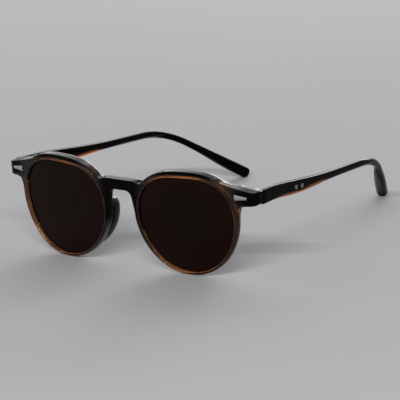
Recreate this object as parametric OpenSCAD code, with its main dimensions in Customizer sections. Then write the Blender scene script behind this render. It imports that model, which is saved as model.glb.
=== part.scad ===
// Round sunglasses: an acetate front with wired acetate temples, in millimetres
// X runs from side to side, Y runs back along the temples, and Z is up
// The rims and both temple tips stand on Z = 0, and X = 0 is the middle of the bridge

/* [Front] */
// Width of the front over the end pieces
front_width = 142; // [139:0.2:145]
// Thickness of the acetate front at its top
front_thickness = 4.6; // [4.2:0.1:5]
// Thickness of the acetate front at its bottom
front_bottom_thickness = 3.6; // [3.5:0.1:4]
// Depth of a rim's outer side, from its face to its rear bevel
rim_side_depth = 1.7; // [1.5:0.1:2.4]
// Width of the rear bevel at the outer side of a rim
rim_rear_bevel = 1.3; // [0.8:0.1:1.3]
// Radius that the front is bent to, seen from above
base_curve_radius = 343; // [320:1:420]
// Lean of the front, top edge forward, in degrees
front_tilt = 1.7; // [0:0.1:3]
// Width of a rim at its top
rim_top_width = 3; // [2.8:0.1:3.6]
// Width of a rim at its bottom
rim_bottom_width = 1.3; // [1.3:0.1:1.8]

/* [Lenses] */
// Distance between the centres of the lenses
lens_spacing = 70; // [68:0.5:73]
// Mean radius of a lens opening
lens_radius = 23.5; // [22.8:0.1:24]
// Stretch of the opening across its width
lens_widening = 1.45; // [1:0.05:1.6]
// Fullness of the opening below its middle
lens_droop = 0.94; // [0.6:0.02:1.1]
// Fullness of the opening at its four corners
lens_squareness = 0.34; // [0.1:0.02:0.5]
// Lean of the opening towards the nose
lens_lean = 0.2; // [0:0.01:0.3]
// Thickness of a lens
lens_thickness = 1.5; // [1.4:0.1:1.6]
// Depth of the lens face behind the face of the rim
lens_depth = 1.3; // [1.2:0.1:2]
// Depth of the groove that holds a lens
groove_depth = 0.45; // [0.35:0.05:0.5]
// Width of the groove
groove_width = 0.9; // [0.7:0.05:1]
// Clearance of a lens in its groove
lens_clearance = 0.05; // [0.03:0.01:0.08]

/* [Bridge] */
// Height of the bridge top over the lens centres
bridge_rise = 16.9; // [16:0.1:17.5]
// Height of the bridge bar from top to arch
bridge_bar_height = 5; // [4.6:0.1:5.6]
// Length of the raised bridge top between its two notches
bridge_bar_length = 21; // [19.6:0.2:22]
// Depth of the notches at the ends of the bridge top
bridge_notch_depth = 1.2; // [1:0.1:1.6]
// Radius of the corners of the nose arch
arch_radius = 3.4; // [2.8:0.1:3.8]
// Width of the nose arch just under the bar
arch_width = 13; // [12:0.2:14]

/* [Nose pads] */
// Height of a nose pad
pad_height = 20.5; // [18:0.5:22]
// Depth of a nose pad behind the front
pad_depth = 8.6; // [6:0.1:9]
// Thickness of a nose pad at its rounded edge
pad_thickness = 3.2; // [2.6:0.1:3.6]
// Height of the pad's middle below the lens centres
pad_drop = 4.5; // [3:0.5:6]
// Splay of a pad, its rear edge away from the nose, in degrees
pad_splay = 16; // [10:1:22]

/* [End pieces and plaques] */
// Height of an end piece at its side
endpiece_height = 5.5; // [5.2:0.1:5.8]
// Height of the end piece's middle, at its side, over the lens centres
endpiece_rise = 13.3; // [13:0.1:14]
// Fall of the end piece's top edge towards its side, in degrees
endpiece_fall = 10.5; // [6:0.5:12]
// Depth of an end piece at its side
endpiece_depth = 6; // [5.4:0.1:6.6]
// Reach of the rounding between the face and the side of an end piece
endpiece_rounding = 3.4; // [2:0.2:3.6]
// Length of a metal plaque
plaque_length = 6.1; // [5:0.1:6.6]
// Height of a plaque at its inner end
plaque_inner_height = 2.5; // [2:0.1:2.8]
// Height of a plaque at its outer end
plaque_outer_height = 1.1; // [1:0.1:1.8]
// Distance of a plaque's outer end from the side of the front
plaque_inset = 3.9; // [3.6:0.1:4.4]
// How far a plaque's ridge stands out of the front
plaque_proud = 0.35; // [0.2:0.05:0.5]
// Depth of the seat that a plaque is pressed into
plaque_seat_depth = 0.5; // [0.3:0.05:0.8]
// Diameter of the studs under a plaque
stud_diameter = 1; // [0.8:0.1:1.2]
// Length of the studs under a plaque
stud_length = 2; // [1.5:0.1:2.4]

/* [Hinges] */
// Outer diameter of the hinge barrels
barrel_diameter = 2.8; // [2.6:0.1:3]
// Height of one barrel knuckle
knuckle_height = 0.8; // [0.76:0.01:0.82]
// Diameter of the hinge screw
screw_diameter = 1.3; // [1.2:0.05:1.4]
// Radial clearance of the screw in the moving knuckles
screw_clearance = 0.03; // [0.02:0.01:0.06]
// Gap between neighbouring knuckles
knuckle_gap = 0.05; // [0.03:0.01:0.08]
// Gap between the front and the end of an open temple
butt_gap = 0.15; // [0.1:0.05:0.3]
// Thickness of the hinge plates
leaf_thickness = 0.9; // [0.8:0.05:1.1]
// Height of the hinge plates
leaf_height = 4.5; // [4.45:0.05:4.7]
// Length of the hinge plate in the front
front_leaf_length = 5; // [4:0.2:5.4]
// Length of the hinge plate in the temple
temple_leaf_length = 9; // [7:0.5:12]

/* [Temples] */
// Length of a temple from the hinge screw to the bend
arm_length = 94.6; // [92:0.2:98]
// Distance from the bend back to the tip
tip_back = 35.2; // [34:0.2:38]
// Distance from the bend inward to the tip
tip_inward = 19.4; // [17:0.2:21]
// Inward lean of an open temple, in degrees
temple_splay = 4.1; // [3:0.05:4.5]
// Thickness of a temple from side to side
temple_thickness = 3.2; // [3.1:0.1:3.6]
// Height of a temple at the hinge
temple_hinge_height = 6.2; // [5.8:0.1:6.6]
// Height of a temple's slim middle
temple_arm_height = 3.2; // [2.4:0.1:3.4]
// Height of a temple at its tip
temple_tip_height = 5.2; // [4:0.1:5.6]
// Thickness of a temple just behind its bend
temple_bend_thickness = 2.8; // [2.4:0.1:3]
// Thickness of a temple at its tip
temple_tip_thickness = 5.4; // [4:0.1:5.6]
// Drop of the top edge from the hinge to the middle of the arm
mid_drop = 5.6; // [5:0.1:7]
// Drop of the top edge from the middle of the arm to the bend
bend_drop = 3.1; // [2.8:0.1:4.2]
// Distance from the bend's corner to where its curve begins
bend_reach = 14.4; // [12:0.2:18]
// Bevel along the four long edges of a temple
temple_bevel = 0.6; // [0.4:0.05:0.8]
// Diameter of the wire inside a temple
core_diameter = 1.2; // [1:0.05:1.3]
// Clearance of the wire in its channel
core_clearance = 0.05; // [0.03:0.01:0.08]
// Diameter of the round rivet heads on a temple
rivet_head_diameter = 2.1; // [1.8:0.1:2.4]
// Distance between the two rivets on a temple
rivet_spacing = 4.9; // [4.6:0.1:6]
// Distance from the hinge screw to the first rivet
rivet_distance = 24.2; // [23:0.2:27]

/* [Hidden] */

acetate_brown = [0.13, 0.08, 0.05];
lens_brown = [0.16, 0.09, 0.08];
pad_brown = [0.3, 0.17, 0.08];
plaque_silver = [0.8, 0.8, 0.8];
hinge_steel = [0.62, 0.62, 0.64];
curve_facets = 360;
bore_facets = 48;
outline_points = 96;
slack = 0.02;
far = 60;

half_width = front_width / 2;
lens_x = lens_spacing / 2;

// Radius of the lens opening at an angle from its outer side, grown by a margin
function opening_radius(angle, grow = 0) =
  lens_radius + grow + lens_widening * cos(2 * angle) + lens_droop * sin(3 * angle)
  - lens_squareness * cos(4 * angle) - lens_lean * cos(3 * angle);
// Width of the rim at that angle, from its bottom width to its top width
function rim_width(angle) =
  (rim_top_width + rim_bottom_width) / 2 + (rim_top_width - rim_bottom_width) / 2 * sin(angle);
function rim_radius(angle) = opening_radius(angle) + rim_width(angle);
function outline_angle(i) = i * 360 / outline_points;
// Depth of the front's face behind its middle, at a distance from the middle
function face_depth(x) = base_curve_radius - sqrt(base_curve_radius * base_curve_radius - x * x);
// Lens centres stand at the height that puts the lowest point of the rims on the ground
rim_low_points = [
  for (i = [0 : outline_points - 1])
    let (a = outline_angle(i), x = lens_x + rim_radius(a) * cos(a))
    rim_radius(a) * sin(a) + face_depth(x) * tan(front_tilt)
];
lens_z = -min(rim_low_points);
function opening_outline(grow) = [
  for (i = [0 : outline_points - 1])
    let (a = outline_angle(i))
    [lens_x + opening_radius(a, grow) * cos(a), lens_z + opening_radius(a, grow) * sin(a)]
];
// Points of a circular arc from one angle to another
function arc(cx, cz, r, from, to, steps = 8) = [
  for (i = [0 : steps])
    let (a = from + (to - from) * i / steps)
    [cx + r * cos(a), cz + r * sin(a)]
];

// Points of a curve that leaves one point towards a corner and arrives at another point
function bend(from, corner, to, steps = 8) = [
  for (i = [0 : steps])
    let (t = i / steps)
    from * (1 - t) * (1 - t) + corner * 2 * t * (1 - t) + to * t * t
];
function rim_point(angle, inset = 0) =
  [lens_x, lens_z] + (rim_radius(angle) - inset) * [cos(angle), sin(angle)];
function mirrored(points) = [for (i = [len(points) - 1 : -1 : 0]) [-points[i][0], points[i][1]]];

// The rear of the front leans, so that the front is thinner at its bottom
rim_top = lens_z + rim_radius(90);
rear_lean = atan((front_thickness - front_bottom_thickness) / rim_top);
function thickness_at(z) = front_bottom_thickness + z * tan(rear_lean);
// Point on the outer side of a rim: part 0 is where the rear bevel starts, 1 is the rear face
function rim_side_point(angle, part) =
  let (
    r = rim_radius(angle) - part * rim_rear_bevel * max(0, cos(angle)),
    x = lens_x + r * cos(angle),
    z = lens_z + r * sin(angle)
  )
  [x, face_depth(x) + rim_side_depth + part * (thickness_at(z) - rim_side_depth), z];
rim_angles = [for (i = [outline_points - 1 : -1 : 0]) outline_angle(i)];
bevel_overrun = 1.15;
// Three rings round a rim: ahead of its face, at its rear bevel and behind its rear face
rim_rings = [
  [for (a = rim_angles) [rim_point(a)[0], -1, rim_point(a)[1]]],
  [for (a = rim_angles) rim_side_point(a, 0)],
  [for (a = rim_angles) rim_side_point(a, bevel_overrun)]
];

// Bridge: a raised bar with a notch at each end, over a round-cornered nose arch
bridge_top = lens_z + bridge_rise;
arch_top = bridge_top - bridge_bar_height;
notch_x = bridge_bar_length / 2;
bridge_shoulder = 3;
arch_half = arch_width / 2;
arch_side_angle = 174;
bridge_root_angle = 155;
bridge_root_inset = 1.2;
bridge_half_outline = concat(
  bend(
    [notch_x - bridge_shoulder, bridge_top],
    [notch_x - bridge_shoulder / 2, bridge_top],
    [notch_x, bridge_top - bridge_notch_depth], 5
  ),
  [
    rim_point(bridge_root_angle, bridge_root_inset),
    rim_point(arch_side_angle, bridge_root_inset),
    rim_point(arch_side_angle)
  ],
  arc(arch_half - arch_radius, arch_top - arch_radius, arch_radius, 0, 90)
);
bridge_outline = concat(bridge_half_outline, mirrored(bridge_half_outline));

// End pieces fall from the brow to the side of the front
endpiece_middle = lens_z + endpiece_rise;
endpiece_top = endpiece_middle + endpiece_height / 2;
endpiece_bottom = endpiece_middle - endpiece_height / 2;
endpiece_corner = 1;
endpiece_length = 10;
endpiece_underside = 3.2;
brow_angle = 47;
endpiece_root_angle = 9;
endpiece_root_inset = 1.2;
endpiece_inner_angle = 24;
endpiece_upper_outline = concat(
  bend(
    rim_point(brow_angle),
    [half_width - endpiece_length, endpiece_top + (endpiece_length - endpiece_corner) * tan(endpiece_fall)],
    [half_width - endpiece_corner, endpiece_top]
  ),
  arc(half_width - endpiece_corner, endpiece_bottom + endpiece_corner, endpiece_corner, 0, -90),
  [rim_point(endpiece_inner_angle, endpiece_root_inset), rim_point(brow_angle, endpiece_root_inset)]
);
// The curve under an end piece, down to the side of the rim
endpiece_root_outline = concat(
  bend(
    [half_width - endpiece_underside, endpiece_bottom],
    [lens_x + rim_radius(endpiece_root_angle), endpiece_bottom],
    rim_point(endpiece_root_angle)
  ),
  [
    rim_point(endpiece_root_angle, endpiece_root_inset),
    rim_point(endpiece_inner_angle, endpiece_root_inset),
    [half_width - endpiece_underside, endpiece_middle]
  ]
);

// Hinge axis, and the butt joint between the front and an open temple
hinge_clearance = 0.2;
barrel_radius = barrel_diameter / 2;
screw_radius = screw_diameter / 2;
hinge_block_length = 14;
hinge_block_start = half_width - hinge_block_length;
hinge_block_slope = 6;
butt_y = face_depth(half_width) + endpiece_depth - endpiece_middle * sin(front_tilt);
pin_x = half_width - temple_thickness - hinge_clearance - barrel_radius;
pin_y = butt_y + barrel_radius + hinge_clearance;
hinge_z = endpiece_middle;
knuckle_count = 5;
knuckle_pitch = knuckle_height + knuckle_gap;
hinge_height = knuckle_count * knuckle_height + (knuckle_count - 1) * knuckle_gap;
web_half = 0.55;
web_overlap = 0.3;
front_leaf_reach = 0.8;
temple_leaf_start = -0.9;
screw_head_radius = 1.05;
screw_head_height = 0.4;
screw_slot_width = 0.3;
screw_slot_depth = 0.25;

// Plaque: its middle lies on the face of the front, turned to follow the curve
plaque_x = half_width - plaque_inset - plaque_length / 2;
plaque_turn = asin(plaque_x / base_curve_radius);
plaque_z = endpiece_middle + 0.45;
plaque_fall = 0.2;
stud_spacing = plaque_length * 0.55;
stud_radius = stud_diameter / 2;

// Nose pad: rounded ends above and below a deeper middle
pad_radius = pad_thickness / 2;
pad_facets = 20;
pad_balls = 6;
pad_z = lens_z - pad_drop;

// Temple in its own frame: the hinge axis is the origin and the arm runs straight back along Y
temple_inner = barrel_radius + hinge_clearance;
temple_mid = temple_inner + temple_thickness / 2;
temple_outer = temple_inner + temple_thickness;
temple_front = butt_y - pin_y - 1;
temple_top = endpiece_top;
shoulder_y = 8;
shoulder_reach = 7;
mid_arm_y = 48;
mid_arm_reach = 14;
front_corner = [temple_mid, temple_front, temple_top];
shoulder_corner = [temple_mid, shoulder_y, temple_top];
mid_corner = [temple_mid, mid_arm_y, temple_top - mid_drop];
bend_corner = [temple_mid, arm_length, temple_top - mid_drop - bend_drop];
tip_run = sqrt(tip_back * tip_back + tip_inward * tip_inward);
tip_fall = bend_corner[2];
tip_slope_length = sqrt(tip_run * tip_run + tip_fall * tip_fall);
// The tip's lowest corner is on the ground, and its top corner lies square above the drop
tip_low = [temple_mid - tip_inward, arm_length + tip_back, 0];
tip_corner = tip_low + temple_tip_height / tip_slope_length
  * [-tip_inward * tip_fall / tip_run, tip_back * tip_fall / tip_run, tip_run];
function unit(v) = v / norm(v);
function before(a, b, reach) = b + unit(a - b) * reach;
function stretch(from, to, steps) = [for (i = [1 : steps]) from + (to - from) * i / steps];
function drop_first(points) = [for (i = [1 : len(points) - 1]) points[i]];
shoulder_in = before(front_corner, shoulder_corner, shoulder_reach);
shoulder_out = before(mid_corner, shoulder_corner, shoulder_reach);
mid_in = before(shoulder_corner, mid_corner, mid_arm_reach);
mid_out = before(bend_corner, mid_corner, mid_arm_reach);
bend_in = before(mid_corner, bend_corner, bend_reach);
bend_out = before(tip_corner, bend_corner, bend_reach);
tip_round = temple_tip_height / 2;
tip_start = before(bend_corner, tip_corner, tip_round);
tip_round_steps = 5;
tip_round_part = 0.92;
// Middle of the top face, from the butt joint to the tip
top_line = concat(
  [front_corner, shoulder_in],
  drop_first(bend(shoulder_in, shoulder_corner, shoulder_out, 4)),
  stretch(shoulder_out, mid_in, 4),
  drop_first(bend(mid_in, mid_corner, mid_out, 6)),
  stretch(mid_out, bend_in, 2),
  drop_first(bend(bend_in, bend_corner, bend_out, 10)),
  stretch(bend_out, tip_start, 3),
  [
    for (i = [1 : tip_round_steps])
      tip_start + (tip_corner - tip_start) * sin(90 * tip_round_part * i / tip_round_steps)
  ]
);
station_count = len(top_line);
// Part of the full section that is left at each station, which rounds the tip off
function section_part(i) =
  let (from_start = i - (station_count - 1 - tip_round_steps))
  from_start <= 0 ? 1 : cos(90 * tip_round_part * from_start / tip_round_steps);
function ease(from, to, part) =
  from + (to - from) * (1 - cos(180 * max(0, min(1, part)))) / 2;
taper_start = 20;
taper_end = 60;
thinning_start = 70;
flare_end = arm_length + tip_back * 0.8;
function temple_height(y) =
  y < arm_length
    ? ease(temple_hinge_height, temple_arm_height, (y - taper_start) / (taper_end - taper_start))
    : ease(temple_arm_height, temple_tip_height, (y - arm_length) / (flare_end - arm_length));
function temple_across(y) =
  y < arm_length
    ? ease(temple_thickness, temple_bend_thickness, (y - thinning_start) / (arm_length - thinning_start))
    : ease(temple_bend_thickness, temple_tip_thickness, (y - arm_length) / (flare_end - arm_length));
function line_direction(i) =
  unit(top_line[min(i + 1, station_count - 1)] - top_line[max(i - 1, 0)]);
function side_direction(d) = unit([d[1], -d[0], 0]);
// Bevelled four-sided section at a station: size across, height and bevel
function section(i, across, top, bottom, bevel) =
  let (
    d = line_direction(i),
    side = side_direction(d),
    up = cross(side, d),
    a = across / 2
  )
  [
    for (p = [
      [a - bevel, top], [a, top - bevel], [a, bottom + bevel], [a - bevel, bottom],
      [bevel - a, bottom], [-a, bottom + bevel], [-a, top - bevel], [bevel - a, top]
    ])
      top_line[i] + side * p[0] + up * p[1]
  ];
function temple_section(i) =
  let (
    part = section_part(i),
    h = temple_height(top_line[i][1]),
    inset = h * (1 - part) / 2
  )
  section(i, temple_across(top_line[i][1]) * part, -inset, inset - h, temple_bevel * part);
function wire_section(i, diameter) =
  let (middle = -temple_height(top_line[i][1]) / 2, r = diameter / 2)
  section(i, diameter, middle + r, middle - r, diameter * 0.29);
raw_temple = [for (i = [0 : station_count - 1]) temple_section(i)];
// The whole arm is sheared by this small amount so that the tip just touches the ground
ground_error = min([for (ring = raw_temple) for (p = ring) p[2]]);
function settled(ring) =
  [for (p = ring) [p[0], p[1], p[2] - ground_error * pow(p[1] / tip_low[1], 2)]];

// Solid through a list of rings that all have the same number of points
module sweep(rings) {
  sides = len(rings[0]);
  last = (len(rings) - 1) * sides;
  points = [for (ring = rings) for (p = ring) p];
  walls = [
    for (j = [0 : len(rings) - 2])
      for (k = [0 : sides - 1])
        let (
          a = j * sides + k,
          b = j * sides + (k + 1) % sides,
          c = b + sides,
          d = a + sides
        )
        for (face = [[a, c, b], [a, d, c]]) face
  ];
  caps = [
    for (k = [1 : sides - 2])
      for (face = [[0, k, k + 1], [last, last + k + 1, last + k]]) face
  ];
  polyhedron(points, concat(walls, caps));
}

module in_front() {
  rotate([front_tilt, 0, 0]) children();
}
// Outline of the front carried through the depth of the acetate
module slab(from, to) {
  translate([0, to, 0])
    rotate([90, 0, 0])
      linear_extrude(to - from)
        children();
}
// Everything behind the curved surface that lies at a depth behind the face of the front
module behind(depth) {
  translate([0, base_curve_radius, -far])
    cylinder(r = base_curve_radius - depth, h = 3 * far, $fn = curve_facets);
}
// Curved layer of the front between two depths, cut to an outline
module layer(from, to) {
  difference() {
    intersection() {
      slab(-1, far / 2) children();
      behind(from);
    }
    behind(to);
  }
}
// Everything behind the leaning rear face of the front
module behind_front() {
  rotate([-rear_lean, 0, 0]) behind(front_bottom_thickness);
}
module both_sides() {
  children();
  mirror([1, 0, 0]) children();
}
module at_hinge() {
  translate([pin_x, pin_y, hinge_z]) children();
}
module in_temple() {
  translate([pin_x, pin_y, 0]) rotate([0, 0, temple_splay]) children();
}
module at_plaque() {
  in_front()
    translate([plaque_x, face_depth(plaque_x), plaque_z])
      rotate([0, 0, plaque_turn])
        children();
}
// Block given by its lowest and highest corners
module block(low, high) {
  translate(low) cube(high - low);
}

// A seat for a plate or a rivet is cut from this far outside the face it lies in
cut_overshoot = 1;
module front_leaf_plate(margin, overshoot) {
  at_hinge()
    block(
      [front_leaf_reach - front_leaf_length - margin, butt_y - pin_y - leaf_thickness - margin,
       -leaf_height / 2 - margin],
      [front_leaf_reach + margin, butt_y - pin_y + overshoot, leaf_height / 2 + margin]
    );
}
module temple_leaf_plate(margin, overshoot) {
  in_temple()
    block(
      [temple_inner - overshoot, temple_leaf_start - margin, hinge_z - leaf_height / 2 - margin],
      [temple_inner + leaf_thickness + margin, temple_leaf_start + temple_leaf_length + margin,
       hinge_z + leaf_height / 2 + margin]
    );
}
module plaque_outline(margin) {
  polygon([
    [-plaque_length / 2 - margin, plaque_fall / 2 + plaque_inner_height / 2 + margin],
    [plaque_length / 2 + margin, -plaque_fall / 2 + plaque_outer_height / 2 + margin],
    [plaque_length / 2 + margin, -plaque_fall / 2 - plaque_outer_height / 2 - margin],
    [-plaque_length / 2 - margin, plaque_fall / 2 - plaque_inner_height / 2 - margin]
  ]);
}
module plaque_studs(margin) {
  for (x = [-stud_spacing / 2, stud_spacing / 2])
    translate([x, plaque_seat_depth - margin, 0])
      rotate([-90, 0, 0])
        cylinder(r = stud_radius + margin, h = stud_length + 2 * margin, $fn = bore_facets);
}
module rivet_places() {
  in_temple()
    for (y = [rivet_distance, rivet_distance + rivet_spacing])
      translate([temple_outer, y, rivet_height(y)])
        rotate([0, -90, 0])
          children();
}

// The end piece grows deeper towards its side, up to the butt joint
module hinge_block() {
  intersection() {
    slab(-1, far / 2) polygon(endpiece_upper_outline);
    behind(0);
    linear_extrude(far)
      polygon([
        [hinge_block_start, -1], [half_width + 1, -1], [half_width + 1, far],
        [hinge_block_start + hinge_block_slope, far],
        [hinge_block_start + hinge_block_slope, butt_y + 1],
        [hinge_block_start, face_depth(hinge_block_start) + front_bottom_thickness - 1]
      ]);
  }
}
// Rounding, seen from above, from the face of an end piece to its side
module corner_cut() {
  start = half_width - endpiece_rounding;
  end_y = face_depth(half_width) + endpiece_rounding;
  linear_extrude(far * 2)
    polygon(concat(
      bend([start, face_depth(start)], [half_width, face_depth(half_width)], [half_width, end_y], 6),
      [[half_width + 1, end_y], [half_width + 1, -1], [start, -1]]
    ));
}
// Rims, bridge and end pieces in one piece of acetate
module front_frame() {
  color(acetate_brown)
    difference() {
      in_front()
        union() {
          difference() {
            intersection() {
              union() {
                slab(-1, far / 2) polygon(bridge_outline);
                both_sides() {
                  sweep(rim_rings);
                  slab(-1, far / 2) polygon(endpiece_upper_outline);
                  layer(0, rim_side_depth) polygon(endpiece_root_outline);
                }
              }
              behind(0);
            }
            behind_front();
          }
          both_sides() hinge_block();
        }
      block([-far * 2, butt_y, -far], [far * 2, far, far * 2]);
      both_sides() {
        in_front() {
          corner_cut();
          slab(-2, far) polygon(opening_outline(0));
          layer(groove_from, groove_from + groove_width) polygon(opening_outline(groove_depth));
        }
        at_plaque() {
          slab(-2, plaque_seat_depth) plaque_outline(slack);
          plaque_studs(slack);
        }
        front_leaf_plate(slack, cut_overshoot);
      }
    }
}

// Lens with a tongue around its edge that sits in the groove of the rim
module lens_right() {
  color(lens_brown)
    in_front()
      union() {
        layer(lens_depth, lens_depth + lens_thickness) polygon(opening_outline(-lens_clearance));
        layer(groove_from + lens_clearance, groove_from + groove_width - lens_clearance)
          polygon(opening_outline(groove_depth - lens_clearance));
      }
}
module lens_left() {
  mirror([1, 0, 0]) lens_right();
}
groove_from = lens_depth + (lens_thickness - groove_width) / 2;

// Nose pad bonded to the rear of the rim
module nose_pad_right() {
  color(pad_brown)
    in_front()
      intersection() {
        hull()
          for (i = [0 : pad_balls])
            let (a = 180 * i / pad_balls)
            pad_ball(pad_z + (pad_height / 2 - pad_radius) * cos(a), sin(a));
        behind_front();
      }
}
module pad_ball(z, part) {
  reach = part * (pad_depth - pad_radius);
  side = lens_x - pad_side(z) + pad_radius + reach * tan(pad_splay);
  translate([side, face_depth(side) + thickness_at(z) + reach, z])
    sphere(r = pad_radius, $fn = pad_facets);
}
// Distance from the lens centre to the nose side of the rim at a height
function pad_side(z) =
  let (a = 180 - asin((z - lens_z) / rim_radius(180)))
  -rim_radius(a) * cos(a);
module nose_pad_left() {
  mirror([1, 0, 0]) nose_pad_right();
}

// Tapered metal plaque with a ridge along its face and two studs behind it
module front_plaque_right() {
  color(plaque_silver)
    at_plaque()
      union() {
        intersection() {
          slab(-plaque_proud, plaque_seat_depth) plaque_outline(0);
          plaque_roof();
        }
        plaque_studs(0);
      }
}
plaque_ridge_rise = 0.3;
module plaque_roof() {
  rotate([0, 90, 0])
    linear_extrude(plaque_length * 2, center = true)
      polygon([
        [-plaque_inner_height, plaque_seat_depth],
        [-plaque_inner_height, plaque_ridge_rise * 2 - plaque_proud],
        [0, -plaque_proud],
        [plaque_inner_height, plaque_ridge_rise * 2 - plaque_proud],
        [plaque_inner_height, plaque_seat_depth]
      ]);
}
module front_plaque_left() {
  mirror([1, 0, 0]) front_plaque_right();
}

module knuckle(index, bore) {
  z = -hinge_height / 2 + index * knuckle_pitch;
  translate([0, 0, z])
    difference() {
      union() {
        cylinder(r = barrel_radius, h = knuckle_height, $fn = bore_facets);
        children();
      }
      translate([0, 0, -1]) cylinder(r = bore, h = knuckle_height + 2, $fn = bore_facets);
    }
}
// Outer, middle and outer knuckles on a plate let into the end piece
module front_hinge_leaf_right() {
  color(hinge_steel)
    union() {
      front_leaf_plate(0, 0);
      at_hinge()
        for (i = [0 : 2 : knuckle_count - 1])
          knuckle(i, screw_radius + slack)
            block(
              [-web_half, butt_y - pin_y - web_overlap, 0],
              [web_half, -screw_radius, knuckle_height]
            );
    }
}
module front_hinge_leaf_left() {
  mirror([1, 0, 0]) front_hinge_leaf_right();
}
// Two knuckles on a plate let into the inner side of the temple
module temple_hinge_leaf_right() {
  color(hinge_steel)
    union() {
      temple_leaf_plate(0, 0);
      in_temple()
        translate([0, 0, hinge_z])
          for (i = [1 : 2 : knuckle_count - 1])
            knuckle(i, screw_radius + screw_clearance)
              block(
                [screw_radius, -web_half, 0],
                [temple_inner + web_overlap, web_half, knuckle_height]
              );
    }
}
module temple_hinge_leaf_left() {
  mirror([1, 0, 0]) temple_hinge_leaf_right();
}
// Slotted screw that is the hinge's pin
module hinge_screw_right() {
  color(hinge_steel)
    at_hinge()
      difference() {
        union() {
          translate([0, 0, -hinge_height / 2])
            cylinder(r = screw_radius, h = hinge_height, $fn = bore_facets);
          translate([0, 0, hinge_height / 2])
            cylinder(r = screw_head_radius, h = screw_head_height, $fn = bore_facets);
        }
        block(
          [-far, -screw_slot_width / 2, hinge_height / 2 + screw_head_height - screw_slot_depth],
          [far, screw_slot_width / 2, far]
        );
      }
}
module hinge_screw_left() {
  mirror([1, 0, 0]) hinge_screw_right();
}

// The wire enters its channel at the butt joint and ends short of the tip
wire_last = station_count - 1 - tip_round_steps - 1;
wire_setback = 0.3;
module wire(diameter, last) {
  in_temple() sweep([for (i = [0 : last]) settled(wire_section(i, diameter))]);
}
module ahead_of_butt(gap) {
  block([0, -far, -far], [far * 2, butt_y + gap, far * 2]);
}
rivet_head_radius = rivet_head_diameter / 2;
rivet_proud = 0.2;
rivet_head_depth = 0.3;
rivet_shank_radius = 0.5;
rivet_shank_depth = 0.8;
function rivet_height(y) =
  temple_top - mid_drop * (y - shoulder_y) / (mid_arm_y - shoulder_y) - temple_height(y) / 2;
module temple_right() {
  color(acetate_brown)
    difference() {
      in_temple() sweep([for (ring = raw_temple) settled(ring)]);
      ahead_of_butt(butt_gap);
      temple_leaf_plate(slack, cut_overshoot);
      wire(core_diameter + 2 * core_clearance, wire_last + 1);
      rivet_places() {
        translate([0, 0, -cut_overshoot])
          cylinder(
            r = rivet_head_radius + slack,
            h = rivet_head_depth + slack + cut_overshoot,
            $fn = bore_facets
          );
        cylinder(r = rivet_shank_radius + slack, h = rivet_shank_depth + slack, $fn = bore_facets);
      }
    }
}
module temple_left() {
  mirror([1, 0, 0]) temple_right();
}
module core_wire_right() {
  color(hinge_steel)
    difference() {
      wire(core_diameter, wire_last);
      ahead_of_butt(butt_gap + wire_setback);
    }
}
module core_wire_left() {
  mirror([1, 0, 0]) core_wire_right();
}
module temple_rivets_right() {
  color(plaque_silver)
    rivet_places()
      union() {
        translate([0, 0, -rivet_proud])
          cylinder(r = rivet_head_radius, h = rivet_head_depth + rivet_proud, $fn = bore_facets);
        cylinder(r = rivet_shank_radius, h = rivet_shank_depth, $fn = bore_facets);
      }
}
module temple_rivets_left() {
  mirror([1, 0, 0]) temple_rivets_right();
}

front_frame();
lens_left();
lens_right();
nose_pad_left();
nose_pad_right();
front_plaque_left();
front_plaque_right();
front_hinge_leaf_left();
front_hinge_leaf_right();
hinge_screw_left();
hinge_screw_right();
temple_hinge_leaf_left();
temple_hinge_leaf_right();
temple_left();
temple_right();
core_wire_left();
core_wire_right();
temple_rivets_left();
temple_rivets_right();
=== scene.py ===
import math
from math import radians

import bmesh
import bpy
import numpy as np
from mathutils import Matrix, Vector

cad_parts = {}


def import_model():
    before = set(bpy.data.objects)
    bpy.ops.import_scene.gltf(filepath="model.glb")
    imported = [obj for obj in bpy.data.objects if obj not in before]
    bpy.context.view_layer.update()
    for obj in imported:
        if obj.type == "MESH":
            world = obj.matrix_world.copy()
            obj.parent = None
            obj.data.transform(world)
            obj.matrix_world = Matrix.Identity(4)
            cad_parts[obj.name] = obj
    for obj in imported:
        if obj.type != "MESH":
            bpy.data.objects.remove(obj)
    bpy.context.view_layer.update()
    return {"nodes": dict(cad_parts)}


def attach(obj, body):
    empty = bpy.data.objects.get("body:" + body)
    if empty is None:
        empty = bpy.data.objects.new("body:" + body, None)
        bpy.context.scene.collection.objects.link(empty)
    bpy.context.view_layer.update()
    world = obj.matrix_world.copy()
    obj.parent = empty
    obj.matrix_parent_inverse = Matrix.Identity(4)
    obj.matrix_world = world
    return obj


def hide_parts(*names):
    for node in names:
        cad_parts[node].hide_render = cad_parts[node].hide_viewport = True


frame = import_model()

SIDES = (("right", 1), ("left", -1))

# Camera, solved from the photograph. It first looks at AIM and is then turned by PAN, PITCH and ROLL.
# Angles are in degrees, and AIM and DISTANCE in metres.
AZIMUTH, ELEVATION = 39.32461, 15.63809
AIM, DISTANCE = (0, 0.045, 0.020), 1.58637
PAN, PITCH, ROLL = -0.25664, 0.05706, -4.37072
FOCAL_PIXELS, IMAGE_PIXELS, SENSOR_MM = 3470.53, 400, 36

# Front. It is drawn upright, with x across, the depth behind the middle of its face, and the height.
# It then leans back by TILT.
BEND_RADIUS, TILT = 343.0, radians(1.7)
HALF = 71.0  # from the middle to the side of an end piece
THICK_BOTTOM, THICK_TOP = 3.6, 4.6
LENS_X, LENS_Z = 35.0, 23.897  # middle of the lens
RIM_WIDTH, RIM_CHANGE = 2.15, 0.85  # width at the sides, and how much it gains above and loses below

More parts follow.
